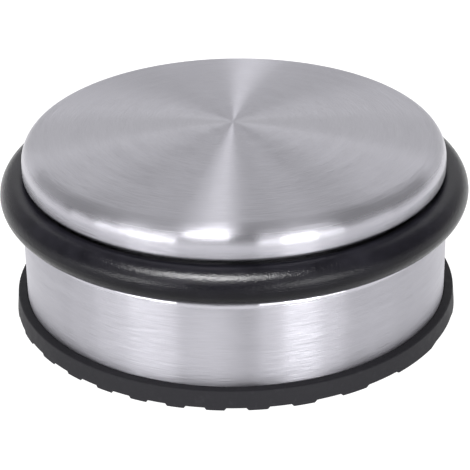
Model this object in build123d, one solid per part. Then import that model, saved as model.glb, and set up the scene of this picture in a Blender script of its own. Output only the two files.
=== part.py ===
from build123d import *
import math
import os

# Round floor door stop: a weighted steel puck that stands on a ribbed rubber foot and meets
# the door with a rubber ring held in a rolled groove.
# Millimetres. The origin is on the floor at the middle of the foot, and +Z is up.
# Profiles are drawn as (r, z) in the half plane y = 0 and turned about Z.

# Cover shell: one drawn sheet with a domed top, a rolled groove and a turned-in bottom flange
sheet = 0.6                # sheet thickness
wall_r = 50.0              # outside radius of the side wall
cap_r = 49.4               # outside radius of the cap above the groove
cap_z = 38.2               # height of the top of the cap's upright side
cap_side = 2.25            # height of that upright side
edge_r = 4.7               # rounding from the cap's side to its top
crown = 2.7                # rise of the dome above the top of that rounding
lip_r = 1.0                # roll from the cap's side under into the groove
lip_turn = 75.0            # degrees below level that the roll's face ends at
corner_r = 0.5             # hollow between the groove's upper flank and its floor
shoulder_r = 3.0           # rounding from the side wall into the groove
shoulder_inset = 3.0       # from the wall's face to the middle of that rounding
bend_r = 1.2               # outside radius of the bend at the bottom of the wall
flange_r = 44.0            # radius of the hole left inside the bottom flange

# Bumper ring
ring_r = 50.55             # radius of the ring's section centre line
ring_section_r = 4.25      # radius of the round section
ring_z = 30.3              # height of the ring's middle

# Rubber foot
tread = 0.7                # height of the ribs under the sole
sole = 1.2                 # thickness of the sole above the ribs
foot_bottom_r = 52.6       # outside radius at the sole
foot_top_r = 52.2          # outside radius at the rim
rim_z = 4.8                # height of the rim round the wall
rim_edge_r = 0.4           # rounding of the rim's outer edge
rim_bevel = 0.25           # bevel of the rim's inner edge
foot_gap = 0.1             # play between the base plate and its pocket in the foot

rib_pitch = 8.7            # straight ribs across the whole underside
rib_width = 4.6            # width of a rib where it meets the sole
rib_slope = 0.5            # how far each side of a rib draws in towards the floor
rib_offset = -2.3          # from the foot's middle to the middle of the nearest rib
rib_turn = -22.0           # degrees from +X to the direction across the ribs
foot_bevel = 0.2           # bevel of the underside's outer edge

# Base plate, the tape under it and its screws
tape = 0.2
tape_r = 47.5
plate = 1.2
plate_r = 48.2
screw_r = 2.0              # M4
screw_head_r = 3.8
screw_length = 14.0
screw_pitch_r = 38.0
screw_count = 4
socket_flats = 2.5
socket_depth = 1.1
hole_end_gap = 2.0         # tapped hole beyond the screw's end

# Ballast casting
ballast_gap = 0.2          # play inside the wall
drum_top_z = 23.0
drum_bevel = 1.0
spigot_gap = 0.35          # play inside the groove's throat
spigot_bevel = 1.5
pocket_bottom_r = 30.0
pocket_top_r = 28.0
pocket_top_z = 31.0
pocket_corner_r = 3.0
register_gap = 0.2         # play between the casting's bottom step and the shell's flange

# Foam disc between the casting and the dome
pad = 1.5
pad_r = 42.0

# Heights and radii that follow from the sizes above
sole_top_z = tread + sole
plate_z = sole_top_z + tape
flange_z = plate_z + plate
cap_top_z = cap_z + edge_r + crown
edge_centre_r = cap_r - edge_r
dome_r = (edge_centre_r ** 2 + crown ** 2) / (2 * crown) + edge_r
dome_turn = math.degrees(math.asin(edge_centre_r / (dome_r - edge_r)))
floor_r = ring_r - ring_section_r
screw_cone = screw_head_r - screw_r


def polar(centre, radius, degrees):
    """The (r, z) point at a radius and angle from a centre; 0 degrees points outwards, 90 up."""
    angle = math.radians(degrees)
    return (centre[0] + radius * math.cos(angle), centre[1] + radius * math.sin(angle))


def shell_arcs():
    """The arcs of the shell's outer face, from the top of the dome to the bottom flange.

    Each is (centre, radius, first angle, last angle, bulge); bulge is 1 where the face
    bulges outwards and -1 where it is hollow. Straight runs join one arc to the next.
    """
    dome = ((0, cap_top_z - dome_r), dome_r, 90, 90 - dome_turn, 1)
    edge = ((edge_centre_r, cap_z), edge_r, 90 - dome_turn, 0, 1)
    lip_centre = (cap_r - lip_r, cap_z - cap_side)
    lip = (lip_centre, lip_r, 0, -lip_turn, 1)

    # The groove's upper flank is the line that touches both the lip and the corner.
    normal = polar((0, 0), 1, -lip_turn)
    corner_x = floor_r + corner_r
    reach = lip_centre[0] * normal[0] + lip_centre[1] * normal[1] + lip_r + corner_r
    corner_centre = (corner_x, (reach - corner_x * normal[0]) / normal[1])
    corner = (corner_centre, corner_r, 180 - lip_turn, 180, -1)

    # The ring's seat runs straight into the shoulder of the side wall.
    inset = wall_r - shoulder_inset
    rise = math.sqrt((ring_section_r + shoulder_r) ** 2 - (ring_r - inset) ** 2)
    turn = math.degrees(math.atan2(rise, ring_r - inset))
    seat = ((ring_r, ring_z), ring_section_r, 180, 180 + turn, -1)
    shoulder = ((inset, ring_z - rise), shoulder_r, turn, 0, 1)

    bend = ((wall_r - bend_r, flange_z + bend_r), bend_r, 0, -90, 1)
    return [dome, edge, lip, corner, seat, shoulder, bend]


def shell_line(depth):
    """Edges and end points of the shell's face, taken a given depth below its outer face."""
    edges = []
    start = last = None
    for centre, radius, first, final, bulge in shell_arcs():
        arc_radius = radius - bulge * depth
        points = [polar(centre, arc_radius, a) for a in (first, (first + final) / 2, final)]
        if last and math.dist(last, points[0]) > 1e-6:
            edges.append(Line(in_plane(last), in_plane(points[0])))
        edges.append(ThreePointArc(*[in_plane(p) for p in points]))
        start = start or points[0]
        last = points[2]
    end = (flange_r, last[1])
    edges.append(Line(in_plane(last), in_plane(end)))
    return edges, start, end


def in_plane(point):
    """An (r, z) point as a point of the half plane y = 0."""
    return (point[0], 0, point[1])


def turned(points):
    """The solid made by turning a closed outline of (r, z) points about Z."""
    outline = Polyline(*[in_plane(p) for p in points], close=True)
    return revolve(make_face(outline), Axis.Z)


def round_screws(piece):
    """Copies of a piece at each screw's place."""
    return [loc * piece for loc in PolarLocations(screw_pitch_r, screw_count, start_angle=45)]


def screw_body(extra=0.0):
    """The outside of one countersunk screw on the Z axis, longer by extra at its end."""
    end = plate_z + screw_length + extra
    return turned([
        (0, plate_z),
        (screw_head_r, plate_z),
        (screw_r, plate_z + screw_cone),
        (screw_r, end),
        (0, end + screw_r * extra / hole_end_gap),
    ])


def cover_shell():
    outer, outer_top, outer_end = shell_line(0)
    inner, inner_top, inner_end = shell_line(sheet)
    ends = [
        Line(in_plane(outer_end), in_plane(inner_end)),
        Line(in_plane(inner_top), in_plane(outer_top)),
    ]
    return revolve(make_face(outer + inner + ends), Axis.Z)


def bumper_ring():
    return Pos(0, 0, ring_z) * Torus(ring_r, ring_section_r)


def sole_grooves():
    """The straight grooves that leave the ribs standing between them."""
    top = (rib_pitch - rib_width) / 2
    mouth = top + rib_slope
    outline = Polyline(
        in_plane((-mouth, -tread)),
        in_plane((-mouth, 0)),
        in_plane((-top, tread)),
        in_plane((top, tread)),
        in_plane((mouth, 0)),
        in_plane((mouth, -tread)),
        close=True,
    )
    groove = extrude(make_face(outline), 2 * foot_bottom_r, both=True)
    side = math.ceil(foot_bottom_r / rib_pitch)
    places = [rib_offset + (i + 0.5) * rib_pitch for i in range(-side, side)]
    return [Rot(0, 0, rib_turn) * Pos(x, 0, 0) * groove for x in places]


def foot_pad():
    pocket_r = plate_r + foot_gap
    body = turned([
        (0, 0),
        (foot_bottom_r - foot_bevel, 0),
        (foot_bottom_r, foot_bevel),
        (foot_top_r, rim_z),
        (wall_r + rim_bevel, rim_z),
        (wall_r, rim_z - rim_bevel),
        (wall_r, flange_z),
        (pocket_r, flange_z),
        (pocket_r, sole_top_z),
        (0, sole_top_z),
    ])
    rim = body.edges().filter_by(GeomType.CIRCLE).group_by(Axis.Z)[-1].sort_by(SortBy.RADIUS)[-1]
    body = fillet(rim, rim_edge_r)
    return body.cut(*sole_grooves())


def foot_tape():
    return Pos(0, 0, sole_top_z + tape / 2) * Cylinder(tape_r, tape)


def base_plate():
    blank = Pos(0, 0, plate_z + plate / 2) * Cylinder(plate_r, plate)
    return blank.cut(*round_screws(screw_body()))


def base_screws():
    socket = extrude(RegularPolygon(socket_flats / 2, 6, major_radius=False), socket_depth)
    screw = screw_body() - Pos(0, 0, plate_z) * socket
    return Compound(children=round_screws(screw))


def ballast_core():
    drum_r = wall_r - sheet - ballast_gap
    spigot_r = floor_r - sheet - spigot_gap
    register_r = flange_r - register_gap
    crown_r = dome_r - sheet - pad
    seat_z = flange_z + sheet
    crown_z = cap_top_z - dome_r
    blank = turned([
        (0, flange_z),
        (register_r, flange_z),
        (register_r, seat_z),
        (drum_r - drum_bevel, seat_z),
        (drum_r, seat_z + drum_bevel),
        (drum_r, drum_top_z - drum_bevel),
        (drum_r - drum_bevel, drum_top_z),
        (spigot_r, drum_top_z),
        (spigot_r, cap_z),
        (spigot_r - spigot_bevel, cap_z + spigot_bevel),
        (spigot_r - spigot_bevel, cap_top_z),
        (0, cap_top_z),
    ])
    blank &= Pos(0, 0, crown_z) * Sphere(crown_r)
    pocket = turned([
        (0, flange_z),
        (pocket_bottom_r, flange_z),
        (pocket_top_r, pocket_top_z),
        (0, pocket_top_z),
    ])
    pocket = fillet(pocket.edges().group_by(Axis.Z)[-1], pocket_corner_r)
    return blank.cut(pocket, *round_screws(screw_body(hole_end_gap)))


def dome_pad():
    centre = Pos(0, 0, cap_top_z - dome_r)
    layer = centre * (Sphere(dome_r - sheet) - Sphere(dome_r - sheet - pad))
    return layer & Pos(0, 0, cap_top_z) * Cylinder(pad_r, 2 * (crown + edge_r))


pieces = {
    "cover_shell": cover_shell,
    "bumper_ring": bumper_ring,
    "foot_pad": foot_pad,
    "foot_tape": foot_tape,
    "base_plate": base_plate,
    "base_screws": base_screws,
    "ballast_core": ballast_core,
    "dome_pad": dome_pad,
}

os.makedirs("parts", exist_ok=True)
for name, make in pieces.items():
    export_step(make(), f"parts/{name}.step")
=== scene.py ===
import math

import bmesh
import bpy
from mathutils import Matrix, Vector

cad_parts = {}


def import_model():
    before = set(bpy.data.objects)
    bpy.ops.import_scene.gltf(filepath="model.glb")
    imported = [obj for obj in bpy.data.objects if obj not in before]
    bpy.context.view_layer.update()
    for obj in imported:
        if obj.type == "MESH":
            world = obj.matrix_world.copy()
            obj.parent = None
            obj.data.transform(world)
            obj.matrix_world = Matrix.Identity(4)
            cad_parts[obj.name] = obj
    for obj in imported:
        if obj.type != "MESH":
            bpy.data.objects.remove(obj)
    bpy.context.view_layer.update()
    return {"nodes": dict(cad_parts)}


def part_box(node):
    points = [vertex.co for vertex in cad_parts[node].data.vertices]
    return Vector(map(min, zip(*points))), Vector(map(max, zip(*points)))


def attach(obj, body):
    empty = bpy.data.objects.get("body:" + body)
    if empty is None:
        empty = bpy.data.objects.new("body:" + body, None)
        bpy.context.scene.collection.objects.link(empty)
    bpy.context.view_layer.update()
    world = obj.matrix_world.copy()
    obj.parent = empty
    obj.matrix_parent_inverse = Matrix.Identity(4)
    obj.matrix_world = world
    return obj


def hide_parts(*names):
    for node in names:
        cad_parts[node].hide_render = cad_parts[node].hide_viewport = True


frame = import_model()

# Everything is in metres. The door stop stands on z = 0 with its axis on Z, and -Y is its front.
MM = 0.001

# Cover shell, as the CAD draws it
SHEET = 0.6 * MM
WALL_R = 50.0 * MM
CAP_R = 49.4 * MM
CAP_Z = 38.2 * MM          # top of the cap's upright side
CAP_SIDE = 2.25 * MM       # height of that side
EDGE_R = 4.7 * MM          # round between the side and the dome
CROWN = 2.7 * MM           # rise of the dome above that round
LIP_R = 1.0 * MM           # round under the side
LIP_TURN = 75.0            # degrees that the lip turns inwards
CORNER_R = 0.5 * MM        # inner corner between the lip and the groove
SHOULDER_R = 3.0 * MM      # round at the top of the wall
SHOULDER_INSET = 3.0 * MM
BEND_R = 1.2 * MM          # round between the wall and the flange
FLANGE_R = 44.0 * MM
FLANGE_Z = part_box("cover_shell")[0].z

# Bumper ring, from its CAD box
ring_low, ring_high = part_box("bumper_ring")
RING_SECTION_R = (ring_high.z - ring_low.z) / 2
RING_Z = (ring_high.z + ring_low.z) / 2
RING_R = ring_high.x - RING_SECTION_R
FLASH_WIDTH = 0.30 * MM    # mould line round the ring
FLASH_HEIGHT = 0.02 * MM

# Fineness of the meshes
SHELL_STEPS = 360          # segments round the shell
RING_STEPS = 360
RING_SIDES = 80            # segments round the ring's section
SAME_POINT = 1e-7          # points of an outline closer than this are one
ON_AXIS = 1e-9             # a radius below this is on the axis
TURNED_CREASE = 40         # degrees past which an edge stays sharp, on a turned mesh
CAD_CREASE = 30            # and on a CAD mesh

# Brushed steel's marks: features a metre across the brushing, features a radian along it, detail
HAIR = (30000.0, 10.0, 0.0)
FINE = (3400.0, 7.0, 3.0)
BROAD = (420.0, 1.5, 1.0)
HAIR_TIP = 0.5             # slope by which they tip the normal each way
FINE_TIP = 0.08
METAL_ROUGHNESS = 0.35     # on average
ROUGHNESS_SWING = 0.02     # that the broad marks add to it or take away
# Forming has burnished the cap's side, and the shoulder where the wall turns in under the ring.
ROLLED_TIP = 0.35          # share of the tipping that is left there
ROLLED_ROUGHNESS = 0.25    # on the cap's side
SHOULDER_ROUGHNESS = 0.13
# Heights between which one finish gives way to the other
ROLL_LOW = 40.4 * MM       # the cap's burnished side to its brushed top
ROLL_HIGH = 42.4 * MM
SHOULDER_LOW = 23.9 * MM   # the brushed wall to its burnished shoulder
SHOULDER_HIGH = 24.3 * MM
GROOVE_TOP = 34.2 * MM     # the shoulder to the cap's side, unseen: up to here from the ring's middle

# Camera
CAMERA_DISTANCE = 0.440
CAMERA_RISE = 26.45        # degrees above level
CAMERA_TARGET_Z = 24 * MM
CAMERA_PITCH = -0.0162     # radians from the target, upwards
CAMERA_ROLL = -0.0148      # radians
CAMERA_LENS = 142.2        # mm, on the sensor below
CAMERA_SENSOR = 36.0

# Studio: a white floor and backdrop that glow, and a dim even fill
FLOOR_HALF = 4.0
FLOOR_GREY = 0.25
FLOOR_GLOW = 1.01
BACKDROP_GLOW = 1.2
WORLD_FILL = 0.33

# Softboxes at one distance round the door stop. Each is placed and sized by angles in degrees as
# the door stop sees it: azimuth from the front, positive to +X; rise; width; height; then radiance.
SOFTBOX_DISTANCE = 1.2
SOFTBOXES = {
    "left_far": (-81, 4, 16, 8, 1.6),
    "left_mid": (-63, 4, 20, 8, 4.4),
    "left_near": (-33, 4, 8, 8, 7.0),
    "left_core": (-45, 4, 16, 8, 8.6),
    "left_bright_up": (-47, 11.5, 26, 7, 1.2),
    "left_third": (-50, 21.5, 42, 13, 0.59),
    "left_top": (-46, 35, 32, 14, 1.6),
    "right_near": (17, 4, 12, 8, 3.0),
    "right_core": (32, 4, 18, 8, 10.7),
    "right_mid": (48, 4, 14, 8, 4.8),
    "right_far": (70, 4, 30, 8, 0.93),
    "right_near_up": (18, 11.5, 12, 7, 2.9),
    "right_mid_up": (46, 11.5, 12, 7, 1.2),
    "right_core_up": (32, 11.5, 16, 7, 6.0),
    "right_top": (34, 38, 34, 20, 1.2),
    "over_front": (-16, 42, 20, 22, 4.9),
    "over_high": (-18, 62, 24, 10, 1.5),
    "back_high": (175, 43, 60, 24, 0.98),
    "back_low": (175, 20, 110, 24, 0.48),
    "back_left": (-122, 15, 50, 30, 0.21),
}
# The same, but they light only the ring, for its gloss
GLEAMS = {
    "gleam_left": (-44, 10, 24, 10, 12.0),
    "gleam_middle": (-20, 66, 34, 12, 90.0),
    "gleam_right": (38, 16, 24, 10, 10.0),
}
# A long light overhead, as panels laid end to end from the front: middle's x, width and radiance
STRIP_HEIGHT = 1.0
STRIP_LENGTH = 0.35        # of each panel
STRIP_FRONT_Y = -0.325     # middle of the front panel
STRIP_TURN = -6.0          # degrees from -Y towards +X that each panel's front end points
STRIPS = {
    "strip_front": (-0.12, 0.2, 2.8),
    "strip_middle": (-0.06, 0.09, 2.2),
    "strip_back": (-0.018, 0.09, 0.1),
    "strip_far": (0.018, 0.055, 0.85),
}


def polar(centre, radius, degrees):
    """The (r, z) point at a radius and angle from a centre; 0 degrees points outwards, 90 up."""
    angle = math.radians(degrees)
    return (centre[0] + radius * math.cos(angle), centre[1] + radius * math.sin(angle))


def shell_arcs():
    """The arcs of the shell's outer face from the dome to the bottom bend, joined by straight runs.

    Each is (centre, radius, first angle, last angle, bulge, steps). Bulge is 1 where the face is
    the outside of the arc and -1 where it is the inside."""
    edge_centre = CAP_R - EDGE_R
    dome_r = (edge_centre ** 2 + CROWN ** 2) / (2 * CROWN) + EDGE_R
    dome_turn = math.degrees(math.asin(edge_centre / (dome_r - EDGE_R)))
    dome = ((0, CAP_Z + EDGE_R + CROWN - dome_r), dome_r, 90, 90 - dome_turn, 1, 48)
    edge = ((edge_centre, CAP_Z), EDGE_R, 90 - dome_turn, 0, 1, 28)
    lip_centre = (CAP_R - LIP_R, CAP_Z - CAP_SIDE)
    lip = (lip_centre, LIP_R, 0, -LIP_TURN, 1, 20)

    floor_r = RING_R - RING_SECTION_R
    normal = polar((0, 0), 1, -LIP_TURN)
    corner_x = floor_r + CORNER_R
    reach = lip_centre[0] * normal[0] + lip_centre[1] * normal[1] + LIP_R + CORNER_R
    corner_centre = (corner_x, (reach - corner_x * normal[0]) / normal[1])
    corner = (corner_centre, CORNER_R, 180 - LIP_TURN, 180, -1, 8)

    inset = WALL_R - SHOULDER_INSET
    rise = math.sqrt((RING_SECTION_R + SHOULDER_R) ** 2 - (RING_R - inset) ** 2)
    turn = math.degrees(math.atan2(rise, RING_R - inset))
    seat = ((RING_R, RING_Z), RING_SECTION_R, 180, 180 + turn, -1, 14)
    shoulder = ((inset, RING_Z - rise), SHOULDER_R, turn, 0, 1, 16)
    bend = ((WALL_R - BEND_R, FLANGE_Z + BEND_R), BEND_R, 0, -90, 1, 8)
    return [dome, edge, lip, corner, seat, shoulder, bend]


def shell_face(depth):
    """Points (r, z) of the shell's face a given depth below its outer face, from the axis outwards."""
    points = []
    for centre, radius, first, last, bulge, steps in shell_arcs():
        for i in range(steps + 1):
            point = polar(centre, radius - bulge * depth, first + (last - first) * i / steps)
            if not points or math.dist(points[-1], point) > SAME_POINT:
                points.append(point)
    return points + [(FLANGE_R, points[-1][1])]


def add_object(name, data):
    """A new object in the scene."""
    made = bpy.data.objects.new(name, data)
    bpy.context.scene.collection.objects.link(made)
    return made


def smooth(piece, crease):
    """Smooth shading, with edges that turn by more than so many degrees kept sharp."""
    piece.data.shade_smooth()
    piece.data.set_sharp_from_angle(angle=math.radians(crease))


def lathe(name, outline, steps, closed):
    """A mesh turned from (r, z) points about Z; a closed outline joins its last point to its first."""
    mesh = bpy.data.meshes.new(name)
    bm = bmesh.new()
    rings = []
    for r, z in outline:
        if r < ON_AXIS:
            rings.append([bm.verts.new((0, 0, z))] * steps)
            continue
        turns = [math.tau * i / steps for i in range(steps)]
        rings.append([bm.verts.new((r * math.cos(a), r * math.sin(a), z)) for a in turns])
    pairs = list(zip(rings, rings[1:]))
    if closed:
        pairs.append((rings[-1], rings[0]))
    for one, two in pairs:
        for i in range(steps):
            j = (i + 1) % steps
            corners = list(dict.fromkeys([one[i], one[j], two[j], two[i]]))
            if len(corners) > 2:
                bm.faces.new(corners)
    bmesh.ops.recalc_face_normals(bm, faces=bm.faces)
    bm.to_mesh(mesh)
    bm.free()
    piece = add_object(name, mesh)
    smooth(piece, TURNED_CREASE)
    return piece


def ring_outline():
    """The ring's round section, with the fine raised line that its mould leaves at the widest part."""
    half = math.degrees(FLASH_WIDTH / 2 / RING_SECTION_R)
    angles = [-half, -half / 3, half / 3, half]
    angles += [half + (360 - 2 * half) * i / RING_SIDES for i in range(1, RING_SIDES)]
    outline = []
    for angle in angles:
        radius = RING_SECTION_R + (FLASH_HEIGHT if abs(angle) < half / 2 else 0)
        outline.append(polar((RING_R, RING_Z), radius, angle))
    return outline


def install(piece, node, material):
    """Puts a turned piece in the place of its CAD node."""
    piece.data.materials.clear()
    piece.data.materials.append(material)
    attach(piece, "root")
    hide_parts(node)


def dress(node, material):
    """Gives a CAD node a better material and leaves its mesh alone."""
    piece = frame["nodes"][node]
    piece.data.materials.clear()
    piece.data.materials.append(material)
    smooth(piece, CAD_CREASE)


class Shader:
    """A material with one Principled shader, and short calls to add nodes to it."""

    def __init__(self, name, **values):
        self.material = bpy.data.materials.new(name)
        self.material.use_nodes = True
        self.tree = self.material.node_tree
        self.bsdf = self.tree.nodes["Principled BSDF"]
        for socket, value in values.items():
            self.bsdf.inputs[socket.replace("_", " ")].default_value = value

    def add(self, kind, inputs=None, **settings):
        """A node of this kind; inputs maps a socket to a value or to another node's output."""
        made = self.tree.nodes.new("ShaderNode" + kind)
        for name, value in settings.items():
            setattr(made, name, value)
        for socket, value in (inputs or {}).items():
            if isinstance(value, bpy.types.NodeSocket):
                self.tree.links.new(value, made.inputs[socket])
            else:
                made.inputs[socket].default_value = value
        return made

    def math(self, operation, a, b=0.0):
        """One operation on two values, each a number or an output."""
        return self.add("Math", {0: a, 1: b}, operation=operation).outputs[0]

    def range(self, value, low, high, start=0.0, end=1.0):
        """Maps a value from start..end to low..high."""
        inputs = {"Value": value, "From Min": start, "From Max": end, "To Min": low, "To Max": high}
        return self.add("MapRange", inputs).outputs[0]

    def vector(self, operation, a, b=(0, 0, 0)):
        """One operation on two vectors, each three numbers or an output."""
        return self.add("VectorMath", {0: a, 1: b}, operation=operation).outputs["Vector"]

    def noise(self, vector, scale, detail=2.0, roughness=0.5, w=None):
        """Noise with so many features to a unit of its vector; w is a fourth coordinate."""
        inputs = {"Vector": vector, "Scale": scale, "Detail": detail, "Roughness": roughness}
        if w is None:
            return self.add("TexNoise", inputs).outputs["Fac"]
        inputs["W"] = w
        return self.add("TexNoise", inputs, noise_dimensions="4D").outputs["Fac"]

    def colours(self, value, *stops):
        """A colour ramp; each stop is (place, colour)."""
        ramp = self.add("ValToRGB", {"Fac": value})
        points = ramp.color_ramp.elements
        while len(points) < len(stops):
            points.new(0.5)
        for point, (place, colour) in zip(points, stops):
            point.position = place
            point.color = (*colour, 1)
        return ramp.outputs["Color"]

    def place(self):
        """The place on the object, in metres."""
        return self.add("TexCoord").outputs["Object"]

    def link(self, output, socket):
        """Joins an output to the Principled shader."""
        self.tree.links.new(output, self.bsdf.inputs[socket])

    def bump(self, height, distance, strength=1.0, under=None):
        """A normal for a relief so many metres deep, on top of another normal if there is one."""
        inputs = {"Height": height, "Distance": distance, "Strength": strength}
        if under is not None:
            inputs["Normal"] = under
        return self.add("Bump", inputs).outputs["Normal"]


def burnishing(s, height):
    """How far forming has burnished the steel at a height: in all, and on the shoulder alone."""
    above = s.range(height, 0.0, 1.0, RING_Z, GROOVE_TOP)
    below = s.range(height, 1.0, 0.0, RING_Z, GROOVE_TOP)
    side = s.math("MULTIPLY", s.range(height, 1.0, 0.0, ROLL_LOW, ROLL_HIGH), above)
    shoulder = s.math("MULTIPLY", s.range(height, 0.0, 1.0, SHOULDER_LOW, SHOULDER_HIGH), below)
    return s.math("MAXIMUM", side, shoulder), shoulder


def tipped_normal(s, heading, tip):
    """The normal tipped across the brushing, which runs round Z, by a slope."""
    x, y = heading[0], heading[1]
    brushing = s.add("CombineXYZ", {0: s.math("MULTIPLY", y, -1.0), 1: x}).outputs[0]
    normal = s.add("NewGeometry").outputs["Normal"]
    across = s.vector("CROSS_PRODUCT", normal, brushing)
    offset = s.add("VectorMath", {0: across, "Scale": tip}, operation="SCALE").outputs[0]
    return s.vector("NORMALIZE", s.vector("ADD", normal, offset))


def turned_steel():
    """Stainless sheet brushed round its axis: rings of fine scratches on top, level ones on the wall.

    The shader's own roughness is the narrow blur along a scratch. The wide blur across the
    scratches comes from tipping the normal across them, from one scratch to the next."""
    s = Shader("turned_steel", Metallic=1.0, Anisotropic=1.0, Anisotropic_Rotation=0.25)
    s.link(s.add("Tangent", direction_type="RADIAL", axis="Z").outputs[0], "Tangent")
    place = s.add("SeparateXYZ", {0: s.place()}).outputs
    height = place[2]
    flat = s.add("CombineXYZ", {0: place[0], 1: place[1]}).outputs[0]
    radius = s.add("VectorMath", {0: flat}, operation="LENGTH").outputs["Value"]
    heading = s.add("SeparateXYZ", {0: s.vector("NORMALIZE", flat)}).outputs

    def scratches(across, along, detail):
        """Noise stretched along the brushing: so many features a metre across, so many a radian along."""
        parts = {
            0: s.math("MULTIPLY", heading[0], along),
            1: s.math("MULTIPLY", heading[1], along),
            2: s.math("MULTIPLY", radius, across),
        }
        vector = s.add("CombineXYZ", parts).outputs[0]
        return s.noise(vector, 1.0, detail, 0.6, w=s.math("MULTIPLY", height, across))

    hair, fine, broad = (scratches(*marks) for marks in (HAIR, FINE, BROAD))
    burnished, shoulder = burnishing(s, height)

    tip = s.math("ADD", s.range(hair, -HAIR_TIP, HAIR_TIP), s.range(fine, -FINE_TIP, FINE_TIP))
    tip = s.math("MULTIPLY", tip, s.range(burnished, 1.0, ROLLED_TIP))
    s.link(tipped_normal(s, heading, tip), "Normal")
    s.link(s.colours(fine, (0.3, (0.478, 0.471, 0.514)), (0.7, (0.514, 0.507, 0.553))), "Base Color")
    rough = (METAL_ROUGHNESS - ROUGHNESS_SWING, METAL_ROUGHNESS + ROUGHNESS_SWING)
    blur = s.range(broad, *rough, 0.3, 0.7)
    on_side = s.math("MULTIPLY", burnished, METAL_ROUGHNESS - ROLLED_ROUGHNESS)
    on_shoulder = s.math("MULTIPLY", shoulder, ROLLED_ROUGHNESS - SHOULDER_ROUGHNESS)
    s.link(s.math("SUBTRACT", blur, s.math("ADD", on_side, on_shoulder)), "Roughness")
    return s.material


def ring_rubber():
    """Moulded rubber with a waxy gloss, a fine grain and faint handling marks."""
    s = Shader("ring_rubber", Specular_IOR_Level=0.16)
    place = s.place()
    grain = s.noise(place, 2800.0, 1.0)
    pores = s.noise(place, 1300.0, 2.0)
    marks = s.noise(place, 160.0, 4.0, 0.6)
    s.link(s.colours(marks, (0.3, (0.0015, 0.0014, 0.0022)), (0.7, (0.004, 0.0038, 0.0054))), "Base Color")
    s.link(s.range(marks, 0.2, 0.26, 0.3, 0.7), "Roughness")
    s.link(s.bump(pores, 0.05 * MM, 0.6, s.bump(grain, 0.08 * MM, 1.0)), "Normal")
    return s.material


def foot_rubber():
    """Duller rubber than the ring's, with a coarser grain and dust caught in it."""
    s = Shader("foot_rubber", Specular_IOR_Level=0.25)
    place = s.place()
    grain = s.noise(place, 2600.0, 3.0)
    dust = s.noise(place, 420.0, 5.0, 0.7)
    s.link(s.colours(dust, (0.55, (0.0135, 0.013, 0.0165)), (0.78, (0.027, 0.026, 0.031))), "Base Color")
    s.link(s.range(dust, 0.55, 0.7, 0.3, 0.7), "Roughness")
    s.link(s.bump(grain, 0.05 * MM, 0.5), "Normal")
    return s.material


def tape_fabric():
    """Double-sided cloth tape: a fine square weave under adhesive."""
    s = Shader("tape_fabric", Specular_IOR_Level=0.4)
    place = s.place()
    threads = {"Vector": place, "Scale": 420.0, "Distortion": 0.4}
    across, along = (s.add("TexWave", threads, bands_direction=axis).outputs["Fac"] for axis in "XY")
    weave = s.math("MULTIPLY", across, along)
    s.link(s.colours(weave, (0.2, (0.50, 0.47, 0.38)), (0.8, (0.66, 0.63, 0.54))), "Base Color")
    s.link(s.range(s.noise(place, 300.0, 3.0), 0.35, 0.6), "Roughness")
    s.link(s.bump(weave, 0.05 * MM, 0.6), "Normal")
    return s.material


def foam():
    """Closed-cell foam sheet, grey, with its cells showing."""
    s = Shader("foam", Specular_IOR_Level=0.2)
    cells = s.add("TexVoronoi", {"Vector": s.place(), "Scale": 1500.0}).outputs["Distance"]
    s.link(s.colours(cells, (0.1, (0.05, 0.05, 0.055)), (0.7, (0.11, 0.11, 0.12))), "Base Color")
    s.link(s.range(cells, 0.75, 0.95), "Roughness")
    s.link(s.bump(cells, 0.2 * MM, 0.7), "Normal")
    return s.material


def plain_metal(name, colour, roughness, scale, relief):
    """Metal with a mottled finish of so many features a metre, and a relief so many metres deep."""
    s = Shader(name, Metallic=1.0)
    place = s.place()
    mottle = s.noise(place, scale, 4.0)
    grit = s.noise(place, 4 * scale, 3.0, 0.6)
    darker = tuple(0.7 * c for c in colour)
    s.link(s.colours(mottle, (0.3, darker), (0.7, colour)), "Base Color")
    s.link(s.range(grit, roughness - 0.08, roughness + 0.08, 0.3, 0.7), "Roughness")
    s.link(s.bump(grit, relief / 4, 0.6, s.bump(mottle, relief, 0.6)), "Normal")
    return s.material


def camera():
    """Looks at the door stop from in front and above."""
    rise = math.radians(CAMERA_RISE)
    data = bpy.data.cameras.new("camera")
    data.lens = CAMERA_LENS
    data.sensor_width = CAMERA_SENSOR
    data.clip_start = 0.01
    place = Vector((0, -math.cos(rise), math.sin(rise))) * CAMERA_DISTANCE
    place += Vector((0, 0, CAMERA_TARGET_Z))
    tilt = Matrix.Rotation(math.pi / 2 - rise + CAMERA_PITCH, 4, "X")
    roll = Matrix.Rotation(CAMERA_ROLL, 4, "Z")
    made = add_object("camera", data)
    made.matrix_world = Matrix.Translation(place) @ tilt @ roll
    bpy.context.scene.camera = made


def floor():
    """A white sheet that glows, as one lit from below does, so that only a faint shadow shows."""
    mesh = bpy.data.meshes.new("floor")
    bm = bmesh.new()
    bmesh.ops.create_grid(bm, x_segments=8, y_segments=8, size=FLOOR_HALF)
    bm.to_mesh(mesh)
    bm.free()
    grey = (FLOOR_GREY, FLOOR_GREY, FLOOR_GREY, 1)
    s = Shader("floor", Base_Color=grey, Roughness=0.9, Specular_IOR_Level=0.0)
    s.bsdf.inputs["Emission Color"].default_value = (1, 1, 1, 1)
    s.bsdf.inputs["Emission Strength"].default_value = FLOOR_GLOW
    mesh.materials.append(s.material)
    add_object("floor", mesh)


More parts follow.
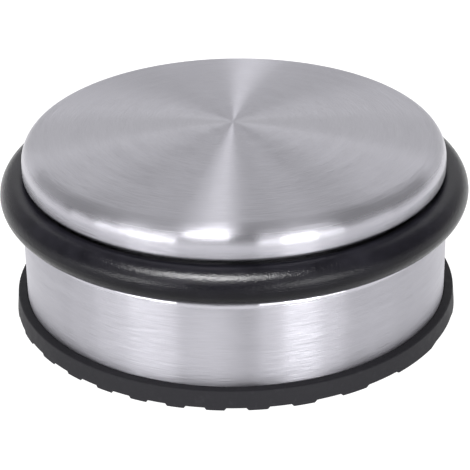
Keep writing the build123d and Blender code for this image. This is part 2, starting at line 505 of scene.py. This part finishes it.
def world():
    """White to the camera, and a dim even fill to everything else."""
    made = bpy.data.worlds.new("studio")
    made.use_nodes = True
    tree = made.node_tree
    fill = tree.nodes["Background"]
    seen = tree.nodes.new("ShaderNodeBackground")
    for background, strength in ((fill, WORLD_FILL), (seen, BACKDROP_GLOW)):
        background.inputs["Color"].default_value = (1, 1, 1, 1)
        background.inputs["Strength"].default_value = strength
    mix = tree.nodes.new("ShaderNodeMixShader")
    path = tree.nodes.new("ShaderNodeLightPath")
    tree.links.new(path.outputs["Is Camera Ray"], mix.inputs[0])
    tree.links.new(fill.outputs[0], mix.inputs[1])
    tree.links.new(seen.outputs[0], mix.inputs[2])
    tree.links.new(mix.outputs[0], tree.nodes["World Output"].inputs["Surface"])
    bpy.context.scene.world = made


def panel(name, place, aim, along, width, length, radiance):
    """A rectangular light at a place, facing a point; its length runs as near as it can to a direction."""
    data = bpy.data.lights.new(name, "AREA")
    data.shape = "RECTANGLE"
    data.size = width
    data.size_y = length
    data.energy = radiance * math.pi * width * length
    back = (Vector(place) - Vector(aim)).normalized()
    side = Vector(along).cross(back).normalized()
    turn = Matrix((side, back.cross(side), back)).transposed().to_4x4()
    made = add_object(name, data)
    made.matrix_world = Matrix.Translation(place) @ turn
    made.visible_camera = False
    return made


def softbox(name, azimuth, rise, spread, height, radiance):
    """A panel facing the door stop, placed and sized by angles in degrees."""
    turn, up = math.radians(azimuth), math.radians(rise)
    way = Vector((math.cos(up) * math.sin(turn), -math.cos(up) * math.cos(turn), math.sin(up)))
    width = 2 * SOFTBOX_DISTANCE * math.tan(math.radians(spread / 2))
    length = 2 * SOFTBOX_DISTANCE * math.tan(math.radians(height / 2))
    place = way * SOFTBOX_DISTANCE
    return panel(name, place, (0, 0, 0), (0, 0, 1), width, length, radiance)


def strip(name, number, x, width, radiance):
    """One panel of the long light overhead, facing straight down."""
    turn = math.radians(STRIP_TURN)
    ahead = Vector((math.sin(turn), -math.cos(turn), 0))
    y = STRIP_FRONT_Y + number * STRIP_LENGTH
    panel(name, (x, y, STRIP_HEIGHT), (x, y, 0), ahead, width, STRIP_LENGTH, radiance)


def lights(glossy):
    """All the lamps, some of which light only the glossy piece."""
    for name, placing in SOFTBOXES.items():
        softbox(name, *placing)
    only = bpy.data.collections.new("gleam")
    only.objects.link(glossy)
    for name, placing in GLEAMS.items():
        softbox(name, *placing).light_linking.receiver_collection = only
    for number, (name, placing) in enumerate(STRIPS.items()):
        strip(name, number, *placing)


shell = lathe("cover_shell_detail", shell_face(0) + shell_face(SHEET)[::-1], SHELL_STEPS, False)
install(shell, "cover_shell", turned_steel())
ring = lathe("bumper_ring_detail", ring_outline(), RING_STEPS, True)
install(ring, "bumper_ring", ring_rubber())
dress("foot_pad", foot_rubber())
dress("foot_tape", tape_fabric())
dress("dome_pad", foam())
dress("ballast_core", plain_metal("iron_casting", (0.13, 0.13, 0.135), 0.65, 700.0, 0.25 * MM))
dress("base_plate", plain_metal("zinc_plate", (0.58, 0.59, 0.62), 0.38, 350.0, 0.01 * MM))
dress("base_screws", plain_metal("screw_steel", (0.5, 0.5, 0.52), 0.35, 1200.0, 0.01 * MM))

camera()
floor()
world()
lights(ring)
bpy.context.scene.view_settings.view_transform = "Standard"
